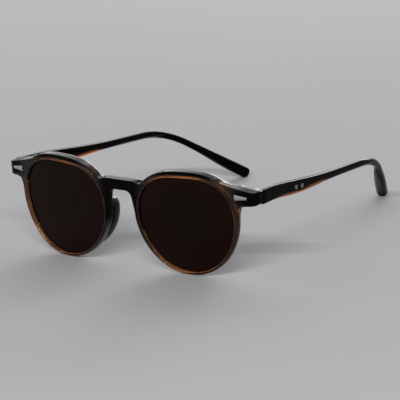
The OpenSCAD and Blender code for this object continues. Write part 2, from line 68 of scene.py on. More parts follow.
# Lens opening, as a radius round the middle of the lens: a circle with low waves round it.
# Angles round a lens are in degrees, with 0 towards the temple and 90 upwards.
OPENING_RADIUS = 23.5
OPENING_WAVES = (
    (1.45, 2, "COSINE"),
    (0.94, 3, "SINE"),
    (-0.34, 4, "COSINE"),
    (-0.2, 3, "COSINE"),
)

# Angles at which the outline of the front goes from one form to the next
END_FROM, END_TO = 9.0, 47.0  # end piece
BRIDGE_FROM = 140.0  # top of the bridge
MIDDLE_FROM, MIDDLE_TO = 146.0, 148.5  # middle of the front, where the two halves join
ARCH_TO = 174.0  # underside of the bridge

# Points along each form of the outline
LOW_RIM_POINTS, END_POINTS, TOP_RIM_POINTS = 150, 110, 84
BRIDGE_POINTS, MIDDLE_POINTS, ARCH_POINTS = 44, 14, 56

# Bridge
BRIDGE_TOP, ARCH_TOP = 40.797, 35.797
ARCH_HALF, ARCH_CORNER = 6.5, 3.4
NOTCH_X, NOTCH_DEPTH = 10.5, 1.2  # step between the rim and the top of the bridge
NOTCH_CORNER, NOTCH_WIDTH = 1.5, 3

# End piece. Lengths named IN are measured from its side towards the middle of the front.
END_TOP, END_BOTTOM, END_MIDDLE = 39.947, 34.447, 37.197
END_CORNER = 0.8
END_DEPTH = 5.7  # depth of an end piece along its top
END_DROP = 0.45  # how far its underside falls towards its side
END_ROUND = 3.4  # width of the face's rounding towards the side
UNDER_IN = 5
BROW_IN, BROW_RISE, BROW_CORNER_IN = 1.6, 0.05, 10
BROW_SLOPE, BROW_RUN = math.tan(radians(10.5)), 9
SWELL_IN, SWELL_RUN = 13.5, 4.5  # where the rear starts to swell, and over what length
SWELL_BELOW, SWELL_HEIGHT = 1.2, 0.5  # how far under the end piece it starts, and over what height
PLATE_TOP = 39.6  # top of the hinge plate

# Rounding and bevels of the front's edges
FRONT_ROUND, FRONT_ROUND_LOW = 0.5, 0.42
FRONT_ROUND_DEPTH = 0.85  # depth of that rounding, as a share of its width
OPENING_ROUND_FRONT, OPENING_ROUND_REAR = 0.45, 0.3
REAR_WIDE, REAR_DEEP = 0.4, 0.45
REAR_CURVE = 1.25  # 1 is a plain bevel
REAR_MOST = 0.65  # most depth of a bevel, as a share of the front's depth there
# Wider bevel at a rim's outer side, the depth of wall left there, how far out the bevel is full, as a
# share, and the degrees over which it fades towards the end piece
SIDE_WIDE, SIDE_DEPTH = 1.0, 1.7
SIDE_FULL, SIDE_FADE = 0.35, 20
BRIDGE_REAR_WIDE, BRIDGE_REAR_DEEP = 0.45, 0.5
ARCH_SOFT, ARCH_SOFT_REAR, ARCH_SOFT_RUN = 0.55, 0.5, 0.35  # softer edges under the bridge
END_REAR, END_REAR_IN, END_REAR_RUN = 0.15, 10, 5  # the bevel narrows on the way out to an end piece
CREST_MIN, CREST_MAX = 0.35, 2.2  # least and most width of the bevel along the top of an end piece
CREST_SLOPE = 0.95  # width of that bevel, for each mm of height over the hinge plate
CREST_IN, CREST_OUT = 14, 1.2  # where it starts and ends, from the side of the end piece
SEAM_EDGE = 0.3  # stands for the edges' sizes where the two halves join
EDGE_STEPS, FLAT_STEPS, WALL_STEPS = 6, 11, 4

# Lens
LENS_DEPTH, LENS_THICK, LENS_DOME = 1.3, 1.5, 0.12
LENS_INTO_RIM = 0.12
LENS_CHAMFER = 0.1
LENS_POINTS = 144

# Nose pad
PAD_HEIGHT, PAD_DEPTH, PAD_THICK, PAD_DROP = 21.0, 9.2, 3.4, 5.2
PAD_SPLAY = math.tan(radians(10))
PAD_ROOT = 1.1  # how far it reaches into the rim
PAD_OFFSET = 0.05  # how far it stays clear of the rim's nose side
PAD_RINGS, PAD_POINTS = 34, 28

# Temple. It is drawn from the hinge axis, straight back, and then splays by SPLAY. Its line has corners
# at a shoulder, a middle and the bend over the ear, each rounded over its REACH before and after it.
PIN_X, PIN_Y, BUTT_Y = 66.2, 13.925, 12.325  # hinge axis, and the joint between end piece and temple
SPLAY = radians(4.1)
TEMPLE_INNER, TEMPLE_THICK = 1.6, 3.2
SHOULDER_Y, SHOULDER_REACH = 8.0, 7
MIDDLE_Y, MIDDLE_DROP, MIDDLE_REACH = 48.0, 5.6, 14
ARM, ARM_DROP, CORNER_REACH = 94.6, 3.1, 14.4  # the bend over the ear
TIP_BACK, TIP_IN = 35.2, 19.4  # from that bend to the tip
TIP_ROUND, TIP_RINGS, TIP_TURN = 2.6, 10, radians(90 * 0.985)  # the round end, just short of a quarter turn
FLARE_END = ARM + TIP_BACK * 0.8
HEIGHT_JOINT, HEIGHT_SLIM, HEIGHT_TIP = 6.2, 3.2, 5.2
SLIM_FROM, SLIM_TO = 20, 60  # where the height falls
DEEP_FROM, DEEP_TO = ARM + 10, FLARE_END + 4  # where it grows again
ACROSS_SLIM, ACROSS_TIP, NARROW_FROM = 2.8, 5.4, 70
CORNER_JOINT, CORNER_GAIN = 0.75, 0.9  # radius of the section's corners, and what it gains towards the tip
ROUNDER_FROM, ROUNDER_TO = 55, 100
FRONT_GAP, TEMPLE_GAP = 0.04, 0.13  # from the joint to the end piece and to the temple
JOINT_EDGE = ((0.16, 0.0), (0.05, 0.04), (0.0, 0.12))  # how much smaller, and how far back
JOINT_HEIGHT, JOINT_CLEAR = 6.0, 0.8


def cosd(x):
    return np.cos(np.radians(x))


def sind(x):
    return np.sin(np.radians(x))


def smoothstep(u):
    return u * u * (3 - 2 * u)


def unit(v):
    return v / np.linalg.norm(v)


def opening(a, grow=0.0):
    """Radius of the lens opening."""
    r = OPENING_RADIUS + grow
    for height, turns, wave in OPENING_WAVES:
        r = r + height * (cosd if wave == "COSINE" else sind)(turns * a)
    return r


def rim(a):
    """Radius of the rim's outer edge."""
    return opening(a) + RIM_WIDTH + RIM_CHANGE * sind(a)


def place(r, a):
    """Point at a radius and angle round the middle of the lens."""
    return np.stack([LENS_X + r * cosd(a), LENS_Z + r * sind(a)], -1)


def face_depth(x):
    return BEND_RADIUS - np.sqrt(BEND_RADIUS**2 - np.asarray(x) ** 2)


def thickness(z):
    return THICK_BOTTOM + z * (THICK_TOP - THICK_BOTTOM) / (LENS_Z + rim(90))


def end_face(x):
    """Depth of the face, with the rounding of an end piece towards its side."""
    x = np.abs(np.asarray(x, float))
    u = np.clip((x - (HALF - END_ROUND)) / END_ROUND, 0, 1)
    t = 1 - np.sqrt(1 - u)
    a, b = face_depth(HALF - END_ROUND), face_depth(HALF)
    side = a * (1 - t) ** 2 + 2 * b * t * (1 - t) + (b + END_ROUND) * t * t
    return np.where(u > 0, side, face_depth(x))


def rear_depth(x, z):
    """Depth of the rear surface, which swells at the end pieces up to the joint with the temple."""
    plain = face_depth(x) + thickness(z)
    butt = (BUTT_Y - FRONT_GAP + z * math.sin(TILT)) / math.cos(TILT)
    outwards = np.clip((x - (HALF - SWELL_IN)) / SWELL_RUN, 0, 1)
    upwards = np.clip((z - END_BOTTOM + SWELL_BELOW) / SWELL_HEIGHT, 0, 1)
    return plain + (butt - plain) * smoothstep(outwards * upwards)


def to_world(points):
    """Points of the upright front, as x, depth and height, leant back."""
    p = np.asarray(points, float)
    c, s = math.cos(TILT), math.sin(TILT)
    return np.stack([p[..., 0], p[..., 1] * c - p[..., 2] * s, p[..., 1] * s + p[..., 2] * c], -1)


def bend(start, corner, end, steps):
    """Smooth curve from start to end, drawn towards a corner."""
    t = np.linspace(0, 1, steps + 1)[:, None]
    a, b, c = (np.array(v, float) for v in (start, corner, end))
    return a * (1 - t) ** 2 + b * 2 * t * (1 - t) + c * t * t


def arc(cx, cz, r, a0, a1, steps):
    a = np.linspace(a0, a1, steps + 1)
    return np.stack([cx + r * cosd(a), cz + r * sind(a)], 1)


def resample(points, count):
    """Points evenly along a line, both ends included."""
    p = np.asarray(points, float)
    d = np.concatenate([[0], np.cumsum(np.linalg.norm(np.diff(p, axis=0), axis=1))])
    u = np.linspace(0, d[-1], count)
    return np.stack([np.interp(u, d, p[:, k]) for k in range(p.shape[1])], 1)


def smooth_ring(v, passes, keep=None):
    """Values round a closed ring, averaged with their neighbours, apart from those to keep."""
    v = v.copy()
    for _ in range(passes):
        w = 0.25 * np.roll(v, 1, 0) + 0.5 * v + 0.25 * np.roll(v, -1, 0)
        if keep is not None:
            w[keep] = v[keep]
        v = w
    return v


def nearest(points, line, closed):
    """Distance of points to a line, and the index of the nearest part of it."""
    b = np.roll(line, -1, 0) if closed else line[1:]
    a = line[: len(b)]
    ab = b - a
    t = np.einsum("pij,ij->pi", points[:, None] - a[None], ab) / np.maximum((ab**2).sum(1), 1e-9)
    t = np.clip(t, 0, 1)
    gap = np.linalg.norm(points[:, None] - (a[None] + t[..., None] * ab[None]), axis=2)
    k = gap.argmin(1)
    return gap[np.arange(len(points)), k], k


def rounded(d, across, deep):
    """How far an edge rounded over an ellipse falls, at a distance from the edge."""
    u = np.clip(d / across, 0, 1)
    return deep * (1 - np.sqrt(np.clip(1 - (1 - u) ** 2, 0, 1)))


def ease(a, b, part):
    return a + (b - a) * (1 - math.cos(math.pi * max(0.0, min(1.0, part)))) / 2


def tube_faces(rings, count):
    """Faces between rings of count points each."""
    faces = []
    for i in range(rings - 1):
        for k in range(count):
            l = (k + 1) % count
            faces.append((i * count + k, i * count + l, (i + 1) * count + l, (i + 1) * count + k))
    return faces


def mirror_mesh(verts, faces):
    v = np.asarray(verts, float).copy()
    v[:, 0] *= -1
    return v, [tuple(reversed(f)) for f in faces]


def mesh_object(name, verts_mm, faces):
    """Object in metres, with double points joined and its faces turned outwards."""
    mesh = bpy.data.meshes.new(name)
    mesh.from_pydata((np.asarray(verts_mm) / 1000).tolist(), [], faces)
    bm = bmesh.new()
    bm.from_mesh(mesh)
    bmesh.ops.remove_doubles(bm, verts=bm.verts, dist=2e-6)
    loose = [v for v in bm.verts if not v.link_faces]
    bmesh.ops.delete(bm, geom=loose, context="VERTS")
    bmesh.ops.recalc_face_normals(bm, faces=bm.faces)
    bm.to_mesh(mesh)
    bm.free()
    for polygon in mesh.polygons:
        polygon.use_smooth = True
    obj = bpy.data.objects.new(name, mesh)
    bpy.context.scene.collection.objects.link(obj)
    return obj


def towards(azimuth, elevation):
    """Direction from the sunglasses to a camera, with azimuth 0 in front of them."""
    a, e = radians(azimuth), radians(elevation)
    return Vector((math.sin(a) * math.cos(e), -math.cos(a) * math.cos(e), math.sin(e)))


def set_camera():
    spot = Vector(AIM) + towards(AZIMUTH, ELEVATION) * DISTANCE
    back = towards(AZIMUTH + PAN, ELEVATION + PITCH)
    a, r = radians(AZIMUTH + PAN), radians(ROLL)
    right = Vector((math.cos(a), math.sin(a), 0))
    up = back.cross(right)
    right, up = right * math.cos(r) + up * math.sin(r), up * math.cos(r) - right * math.sin(r)
    data = bpy.data.cameras.new("camera")
    data.sensor_width = SENSOR_MM
    data.lens = FOCAL_PIXELS / IMAGE_PIXELS * SENSOR_MM
    data.clip_start, data.clip_end = 0.05, 20
    camera = bpy.data.objects.new("camera", data)
    axes = Matrix((right, up, back)).transposed()
    camera.matrix_world = Matrix.Translation(spot) @ axes.to_4x4()
    bpy.context.scene.collection.objects.link(camera)
    bpy.context.scene.camera = camera


# Front: a closed section that runs round each lens, from the lens opening out to the outline
def rear_bevel(a):
    """Width and depth of a rim's rear bevel, which is wide on its outer side and slight elsewhere."""
    turn = a % 360
    fade = np.where(turn > 180, 1.0, np.clip((END_TO - turn) / SIDE_FADE, 0, 1))
    side = np.clip(cosd(a), 0, 1) * fade
    full = thickness(LENS_Z + rim(a) * sind(a))
    grow = smoothstep(np.clip(side / SIDE_FULL, 0, 1))
    return REAR_WIDE + SIDE_WIDE * side, REAR_DEEP + (full - SIDE_DEPTH - REAR_DEEP) * grow


def crest_bevel(points):
    """Width and depth of the bevel along an end piece's top, down to just over the hinge plate."""
    x, z = points[:, 0], points[:, 1]
    deep = np.maximum(CREST_MIN, rear_depth(x, z) - face_depth(x) - END_DEPTH)
    return np.clip((z - PLATE_TOP) * CREST_SLOPE, CREST_MIN, CREST_MAX), deep


def end_outline(count):
    """Outline of an end piece, from the rim along its underside, up its side and back along the brow."""
    root, top = place(rim(END_FROM), END_FROM), place(rim(END_TO), END_TO)
    under = bend(root, [LENS_X + rim(END_FROM), END_BOTTOM], [HALF - UNDER_IN, END_BOTTOM], 12)
    low = END_BOTTOM - END_DROP
    side_low = arc(HALF - END_CORNER, low + END_CORNER, END_CORNER, -90, 0, 6)
    side_high = arc(HALF - END_CORNER, END_TOP - END_CORNER, END_CORNER, 0, 90, 6)
    brow_from = [HALF - BROW_IN, END_TOP + BROW_RISE]
    brow = bend(brow_from, [HALF - BROW_CORNER_IN, END_TOP + BROW_RUN * BROW_SLOPE], top, 14)
    return resample(np.vstack([under, side_low, side_high, brow]), count)


def half_outline():
    """Matching points on the lens opening and on the outline of one half, with the edges' sizes at each.

    The lists are: point on the opening, point on the outline, front rounding, rear bevel's width, rear
    bevel's depth, and whether the point lies inside the middle of the front and so on no edge."""
    rows = []

    def add(a, q, front, wide, deep, seam=False):
        sizes = [np.broadcast_to(np.asarray(v, float), (len(a),)) for v in (front, wide, deep)]
        rows.append((place(opening(a), a), q, *sizes, np.full(len(a), seam)))

    # Rim, from the nose side below the lens to the end piece
    a = np.linspace(ARCH_TO, 360 + END_FROM, LOW_RIM_POINTS)[:-1]
    add(a, place(rim(a), a), FRONT_ROUND_LOW, *rear_bevel(a))

    # End piece
    q = end_outline(END_POINTS)[:-1]
    a = np.linspace(END_FROM, END_TO, END_POINTS)[:-1]
    out = np.clip((q[:, 0] - (HALF - END_REAR_IN)) / END_REAR_RUN, 0, 1)
    above = q[:, 1] > END_MIDDLE
    wide, deep = rear_bevel(np.where(above, END_TO, END_FROM))
    wide = wide + (END_REAR - wide) * out
    deep = deep + (END_REAR - deep) * out
    crest_wide, crest_deep = crest_bevel(q)
    crest = above & (q[:, 0] > HALF - CREST_IN) & (q[:, 0] < HALF - CREST_OUT)
    wide = np.where(crest, crest_wide, wide)
    deep = np.where(crest, crest_deep, deep)
    add(a, q, FRONT_ROUND, wide, deep)

    # Rim over the lens
    a = np.linspace(END_TO, BRIDGE_FROM, TOP_RIM_POINTS)[:-1]
    add(a, place(rim(a), a), FRONT_ROUND, *rear_bevel(a))

    # Top of the bridge, with the notch beside the rim
    a = np.array([BRIDGE_FROM, BRIDGE_FROM + 3])
    notch = [NOTCH_X, BRIDGE_TOP - NOTCH_DEPTH]
    shoulder = bend(notch, [NOTCH_X - NOTCH_CORNER, BRIDGE_TOP], [NOTCH_X - NOTCH_WIDTH, BRIDGE_TOP], 6)
    q = resample(np.vstack([place(rim(a), a), shoulder, [0, BRIDGE_TOP]]), BRIDGE_POINTS)
    a = np.linspace(BRIDGE_FROM, MIDDLE_FROM, BRIDGE_POINTS)
    add(a, q, FRONT_ROUND, BRIDGE_REAR_WIDE, BRIDGE_REAR_DEEP)

    # Middle of the front, from the top of the bridge down to its underside
    fall = (1 - np.cos(np.linspace(0, math.pi, MIDDLE_POINTS))) / 2
    q = np.stack([0 * fall, BRIDGE_TOP + (ARCH_TOP - BRIDGE_TOP) * fall], 1)[1:-1]
    a = np.linspace(MIDDLE_FROM, MIDDLE_TO, MIDDLE_POINTS)[1:-1]
    add(a, q, FRONT_ROUND, BRIDGE_REAR_WIDE, BRIDGE_REAR_DEEP, True)

    # Underside of the bridge, with softer edges towards the middle
    corner = arc(ARCH_HALF - ARCH_CORNER, ARCH_TOP - ARCH_CORNER, ARCH_CORNER, 90, 0, 10)
    q = resample(np.vstack([[[0, ARCH_TOP]], corner, place(rim(ARCH_TO), ARCH_TO)]), ARCH_POINTS)[:-1]
    a = np.linspace(MIDDLE_TO, ARCH_TO, ARCH_POINTS)[:-1]
    soft = np.clip((1 - np.linspace(0, 1, len(a))) / ARCH_SOFT_RUN, 0, 1)
    rear = BRIDGE_REAR_DEEP + ARCH_SOFT_REAR * soft
    add(a, q, FRONT_ROUND_LOW + ARCH_SOFT * soft, rear, rear)
    return [np.concatenate([r[k] for r in rows]) for k in range(6)]


def build_front():
    p, q, *sizes, seam = half_outline()
    q = smooth_ring(q, 2, keep=seam | (q[:, 0] < 1e-6))
    sizes = [smooth_ring(v, 14) for v in sizes]
    front_round, rear_wide, _ = sizes
    n = len(p)
    length = np.linalg.norm(q - p, axis=1)
    # The outline as an open line, which starts after the middle of the front
    first = int(np.argmax(np.roll(seam, 1) & ~seam))
    order = np.roll(np.flatnonzero(~seam), -np.count_nonzero(~seam[:first]))
    line = q[order]
    line_sizes = [v[order] for v in sizes]
    fine = 1 - np.cos(np.linspace(0, math.pi / 2, EDGE_STEPS + 1))

    def shares(inner, outer):
        """Places along each section line, close together at both edges."""
        a = inner / length[:, None] * fine[None]
        b = 1 - (outer[:, None] / length[:, None]) * fine[None][:, ::-1]
        lo, hi = a[:, -1], b[:, 0]
        mid = lo[:, None] + (hi - lo)[:, None] * np.linspace(0, 1, FLAT_STEPS + 1)[None, 1:-1]
        return np.hstack([a, mid, b])

    def lay(s, rear):
        """Points of the face or of the rear surface, with the edges rounded and bevelled."""
        flat = (p[:, None] + (q - p)[:, None] * s[..., None]).reshape(-1, 2)
        d_out, k = nearest(flat, line, closed=False)
        d_in, _ = nearest(flat, p, closed=True)
        f, wide, deep = (v[np.minimum(k, len(v) - 1)] for v in line_sizes)
        x, z = flat[:, 0], flat[:, 1]
        side = np.clip((x - (HALF - 2.5)) / 2.2, 0, 1)
        face = end_face(x) + rounded(d_in, OPENING_ROUND_FRONT, OPENING_ROUND_FRONT)
        face = face + rounded(d_out, f, f * FRONT_ROUND_DEPTH) * (1 - side)
        back = rear_depth(x, z)
        deep = np.minimum(deep, (back - face) * REAR_MOST)
        back = back - rounded(d_in, OPENING_ROUND_REAR, OPENING_ROUND_REAR)
        back = back - deep * np.clip(1 - d_out / wide, 0, 1) ** REAR_CURVE
        return np.stack([x, back if rear else face, z], 1).reshape(n, -1, 3)

    front = lay(shares(OPENING_ROUND_FRONT, np.where(seam, SEAM_EDGE, front_round)), False)
    rear = lay(shares(OPENING_ROUND_REAR, np.where(seam, SEAM_EDGE, rear_wide)), True)[:, ::-1]
    steps = np.linspace(0, 1, WALL_STEPS + 1)[1:-1]
    out_wall = np.stack([front[:, -1] + (rear[:, 0] - front[:, -1]) * t for t in steps], 1)
    in_wall = np.stack([rear[:, -1] + (front[:, 0] - rear[:, -1]) * t for t in steps], 1)
    loop = np.concatenate([front, out_wall, rear, in_wall], axis=1)
    m = loop.shape[1]
    wall_from, wall_to = front.shape[1] - 1, front.shape[1] + len(steps)
    in_middle = np.abs(q[:, 0]) < 1e-6
    faces = []
    for i in range(n):
        j = (i + 1) % n
        for k in range(m):
            # No wall stands between the two halves
            if in_middle[i] and in_middle[j] and wall_from <= k < wall_to:
                continue
            l = (k + 1) % m
            faces.append((i * m + k, j * m + k, j * m + l, i * m + l))
    verts = to_world(loop.reshape(-1, 3))
    other_verts, other_faces = mirror_mesh(verts, faces)
    faces += [tuple(len(verts) + t for t in f) for f in other_faces]
    obj = mesh_object("front", np.vstack([verts, other_verts]), faces)
    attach(obj, "front")
    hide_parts("front_frame")
    return obj


def build_lens(side, sign):
    """Lens bent like the front, with a fine ground edge that reaches just into the rim."""
    count = LENS_POINTS
    a = np.arange(count) * 360 / count
    edge = opening(a, LENS_INTO_RIM)
    parts = np.concatenate([np.linspace(0.12, 0.94, 9), [0.97, 0.985, 1.0]])
    front_y, rear_y = LENS_DEPTH, LENS_DEPTH + LENS_THICK

    def ring(share, depth, chamfer):
        xz = place(edge * share, a)
        depth = depth - LENS_DOME * (1 - share * share) + (chamfer if share == 1.0 else 0.0)
        return np.stack([xz[:, 0], face_depth(xz[:, 0]) + depth, xz[:, 1]], 1)

    rows = [ring(s, front_y, LENS_CHAMFER) for s in parts]
    rows += [ring(s, rear_y, -LENS_CHAMFER) for s in parts[::-1]]
    centres = [[LENS_X, face_depth(LENS_X) + y - LENS_DOME, LENS_Z] for y in (front_y, rear_y)]
    verts = to_world(np.vstack(rows + [centres]))
    faces = tube_faces(len(rows), count)
    base = len(rows) * count
    last = base - count
    for k in range(count):
        l = (k + 1) % count
        faces.append((base, l, k))
        faces.append((base + 1, last + k, last + l))
    if sign < 0:
        verts, faces = mirror_mesh(verts, faces)
    obj = mesh_object("curved_lens_" + side, verts, faces)
    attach(obj, "front")
    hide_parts("lens_" + side)
    return obj


def build_pad(side, sign):
    """Nose pad: a smooth fin that grows out of the rear of the rim and thins towards its edge."""
    rings, count = PAD_RINGS, PAD_POINTS
    verts = []
    for i in range(rings + 1):
        t = math.sin((-1 + 2 * i / rings) * math.pi / 2)
        z = LENS_Z - PAD_DROP + PAD_HEIGHT / 2 * t
        swell = math.sqrt(max(0.0, 1 - t * t))
        # Nose side of the rim at this height
        a = 180 - math.degrees(math.asin(max(-1, min(1, (z - LENS_Z) / rim(180.0)))))
        nose = LENS_X + rim(a) * cosd(a)
        reach = PAD_DEPTH * swell**0.5
        half = max(0.02, PAD_THICK / 2 * swell**0.45)
        for k in range(count):
            b = 2 * math.pi * k / count
            back = (math.cos(b) + 1) / 2
            y = -PAD_ROOT * swell + (reach + PAD_ROOT * swell) * back
            taper = (1 - 0.1 * back) * (1 - 0.15 * back)
            x = nose + PAD_THICK / 2 + PAD_OFFSET + y * PAD_SPLAY + half * math.sin(b) * taper
            verts.append((x, face_depth(x) + thickness(z) + y, z))
    faces = tube_faces(rings + 1, count)
    faces.append(tuple(range(count)))
    faces.append(tuple(rings * count + k for k in reversed(range(count))))
    verts = to_world(verts)
    if sign < 0:
        verts, faces = mirror_mesh(verts, faces)
    obj = mesh_object("smooth_pad_" + side, verts, faces)
    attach(obj, "front")
    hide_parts("nose_pad_" + side)
    return obj


# Temples: a rounded section along the same line as the solid's
def temple_line():
    """Line along the top of a temple, from the hinge to the tip, with closer points round the tip."""
    mid = TEMPLE_INNER + TEMPLE_THICK / 2
    front = np.array([mid, BUTT_Y - PIN_Y - 1, END_TOP])
    shoulder = np.array([mid, SHOULDER_Y, END_TOP])
    middle = np.array([mid, MIDDLE_Y, END_TOP - MIDDLE_DROP])
    corner = np.array([mid, ARM, END_TOP - MIDDLE_DROP - ARM_DROP])
    run = math.hypot(TIP_BACK, TIP_IN)
    slope = math.hypot(run, corner[2])
    low = np.array([mid - TIP_IN, ARM + TIP_BACK, 0.0])
    above = np.array([-TIP_IN * corner[2] / run, TIP_BACK * corner[2] / run, run])
    tip = low + HEIGHT_TIP / slope * above

    def before(a, b, reach):
        """Point just before b on the way from a."""
        return b + unit(a - b) * reach

    s_in, s_out = before(front, shoulder, SHOULDER_REACH), before(middle, shoulder, SHOULDER_REACH)
    m_in, m_out = before(shoulder, middle, MIDDLE_REACH), before(corner, middle, MIDDLE_REACH)
    c_in, c_out = before(middle, corner, CORNER_REACH), before(tip, corner, CORNER_REACH)
    round_from = before(corner, tip, TIP_ROUND)
    turns = [math.sin(TIP_TURN * i / TIP_RINGS) for i in range(1, TIP_RINGS + 1)]
    return np.vstack(
        [
            front,
            s_in,
            bend(s_in, shoulder, s_out, 10)[1:],
            np.linspace(s_out, m_in, 10)[1:],
            bend(m_in, middle, m_out, 12)[1:],
            np.linspace(m_out, c_in, 6)[1:],
            bend(c_in, corner, c_out, 26)[1:],
            np.linspace(c_out, round_from, 9)[1:],
            [round_from + (tip - round_from) * t for t in turns],
        ]
    )


def temple_height(y):
    if y < ARM:
        return ease(HEIGHT_JOINT, HEIGHT_SLIM, (y - SLIM_FROM) / (SLIM_TO - SLIM_FROM))
    return ease(HEIGHT_SLIM, HEIGHT_TIP, (y - DEEP_FROM) / (DEEP_TO - DEEP_FROM))


def temple_across(y):
    if y < ARM:
        return ease(TEMPLE_THICK, ACROSS_SLIM, (y - NARROW_FROM) / (ARM - NARROW_FROM))
    return ease(ACROSS_SLIM, ACROSS_TIP, (y - ARM) / (FLARE_END - ARM))


def rounded_box(w, h, r, steps=6):
    """Outline of a box from -w/2 to w/2 and from 0 down to -h, with round corners."""
    r = min(r, w * 0.46, h * 0.46)
    right, top, bottom = w / 2 - r, -r, -h + r
    points = []
    for cx, cz, a0 in ((right, top, 90), (right, bottom, 0), (-right, bottom, -90), (-right, top, -180)):
        for i in range(steps + 1):
            a = radians(a0 - 90 * i / steps)
            points.append((cx + r * math.cos(a), cz + r * math.sin(a)))
    return points


def temple_rings():
    """Sections along a temple, in its own frame, with its lowest point brought to the floor."""
    line = temple_line()
    n = len(line)
    rings = []
    for i in range(n):
        d = unit(line[min(i + 1, n - 1)] - line[max(i - 1, 0)])
        across = unit(np.array([d[1], -d[0], 0.0]))
        up = np.cross(across, d)
        h, w = temple_height(line[i][1]), temple_across(line[i][1])
        k = i - (n - 1 - TIP_RINGS)
        part = 1.0 if k <= 0 else max(0.03, math.cos(TIP_TURN * k / TIP_RINGS))
        inset = h * (1 - part) / 2
        rounder = max(0.0, min(1.0, (line[i][1] - ROUNDER_FROM) / (ROUNDER_TO - ROUNDER_FROM)))
        r = CORNER_JOINT + CORNER_GAIN * rounder
        box = rounded_box(w * part, h * part, r * part)
        rings.append([line[i] + across * b[0] + up * (b[1] - inset) for b in box])
    rings = np.array(rings)
    low = rings[..., 2].min()
    rings[..., 2] -= low * (rings[..., 1] / (ARM + TIP_BACK)) ** 2
    return rings


def build_temple(side, sign):
    own = temple_rings()
    c, s = math.cos(SPLAY), math.sin(SPLAY)
    x, y, z = own[..., 0], own[..., 1], own[..., 2]
    world = np.stack([PIN_X + x * c - y * s, PIN_Y + x * s + y * c, z], -1)
    # The first rings lie on the plane of the joint, with a small rounding at its edge
    plane = BUTT_Y + TEMPLE_GAP
    along = np.array([-s, c, 0.0])
    start = world[0] + along * ((plane - world[0][:, 1]) / along[1])[:, None]
    middle = start.mean(0)
    rings = []
    for cut, back in JOINT_EDGE:
        shrink = np.array([1 - cut / TEMPLE_THICK, 1, 1 - cut / JOINT_HEIGHT])
        rings.append(middle + (start - middle) * shrink + along * back)
    rings += [r for r in world if r[:, 1].min() > plane + JOINT_CLEAR]
    count = len(rings[0])
    verts = np.concatenate(rings)
    faces = tube_faces(len(rings), count)
    faces.append(tuple(reversed(range(count))))
    faces.append(tuple((len(rings) - 1) * count + k for k in range(count)))
    if sign < 0:
        verts, faces = mirror_mesh(verts, faces)
    obj = mesh_object("smooth_temple_" + side, verts, faces)
    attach(obj, "temple_" + side)
    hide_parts("temple_" + side)
    return obj


# Materials. Noise runs on each piece's own position, in metres. Colours are linear.
CLEAR_STREAKS = ((0.50, 0.32, 0.18), (0.70, 0.50, 0.30))
DARK_STREAKS = ((0.0016, 0.0010, 0.0006), (0.0032, 0.0020, 0.0010))
HAZE = (0.002, 0.018)  # how much of the light the clear acetate scatters
SOAK = (0.55, 0.33, 0.10)  # colour left after some depth of acetate
RIM_BROWN = (0.10, 0.042, 0.018)
# Painted amber glow of light that comes through the rim from above, along the lens opening
RIM_GLOW_AMBER = (0.98, 0.56, 0.24)
STRIP_WIDTH, STRIP_EXTRA = 0.75, 0.5  # width in mm of the painted glow strip at the sides of a lens, and what it gains above
# Painted glow of light coming through the temples' thin lower edges
RED_GLOW, OLIVE_GLOW = (0.55, 0.18, 0.03), (0.50, 0.36, 0.14)
LENS_REDS = ((0.0125, 0.0032, 0.0024), (0.0095, 0.0030, 0.0018))
# Painted greenish reflection in the middle of a lens
LENS_MIDDLE_REFLECTION = (0.0052, 0.0042, 0.0022)

# Parts of the acetate that are dark, as ellipsoids: middle and reach in mm, and the share of the reach
# that is dark throughout. Each counts on both sides.
DARK_FRONT = (
    ((0, 5, 38), (22, 34, 17), 0.4),
    ((71, 5, 39), (17, 34, 12), 0.4),
    ((36, 5, 48), (30, 34, 10), 0.4),
    ((9, 5, 28), (9, 30, 15), 0.4),
)
DARK_PAD = (((12, 8, 19), (20, 16, 14), 0.5),)
DARK_TEMPLE = (((60, 70, 20), (60, 140, 70), 0.8),)

# Clear parts along a temple's lower edge, painted with the glow of light coming through them: colour, middle
# and reach in mm, share, and tilt in degrees
TEMPLE_GLOW_LINES = (
    (RED_GLOW, (66, 34, 32.3), (40, 16, 1.5), 0.4, -7),
    (RED_GLOW, (66, 54, 31.2), (40, 16, 1.5), 0.4, -1.5),
    (OLIVE_GLOW, (66, 88, 29.3), (40, 22, 1.0), 0.4, -4),
    (OLIVE_GLOW, (60, 124, 13.4), (40, 20, 1.1), 0.4, -40),
)


def new_material(name):
    m = bpy.data.materials.new(name)
    m.use_nodes = True
    nt = m.node_tree
    nt.nodes.clear()
    out = nt.nodes.new("ShaderNodeOutputMaterial")
    bsdf = nt.nodes.new("ShaderNodeBsdfPrincipled")
    nt.links.new(bsdf.outputs[0], out.inputs[0])
    return m, nt, bsdf


def position(nt, scale=(1, 1, 1)):
    tc = nt.nodes.new("ShaderNodeTexCoord")
    mp = nt.nodes.new("ShaderNodeMapping")
    mp.inputs["Scale"].default_value = scale
    nt.links.new(tc.outputs["Object"], mp.inputs["Vector"])
    return mp.outputs["Vector"]


def two_sided_position(nt):
    """Position with the left side folded onto the right one."""
    tc = nt.nodes.new("ShaderNodeTexCoord")
    fold = nt.nodes.new("ShaderNodeVectorMath")
    fold.operation = "ABSOLUTE"
    nt.links.new(tc.outputs["Object"], fold.inputs[0])
    return fold.outputs[0]


def noise(nt, vector, scale, detail, rough, distortion=0.0):
    n = nt.nodes.new("ShaderNodeTexNoise")
    n.inputs["Scale"].default_value = scale
    n.inputs["Detail"].default_value = detail
    n.inputs["Roughness"].default_value = rough
    n.inputs["Distortion"].default_value = distortion
    nt.links.new(vector, n.inputs["Vector"])
    return n.outputs["Fac"]


def ramp(nt, fac, lo, hi, colours):
    """From the first colour at lo to the second at hi."""
    r = nt.nodes.new("ShaderNodeValToRGB")
    for e, spot, colour in zip(r.color_ramp.elements, (lo, hi), colours):
        e.position = spot
        e.color = (*colour, 1)
    nt.links.new(fac, r.inputs["Fac"])
    return r.outputs["Color"]


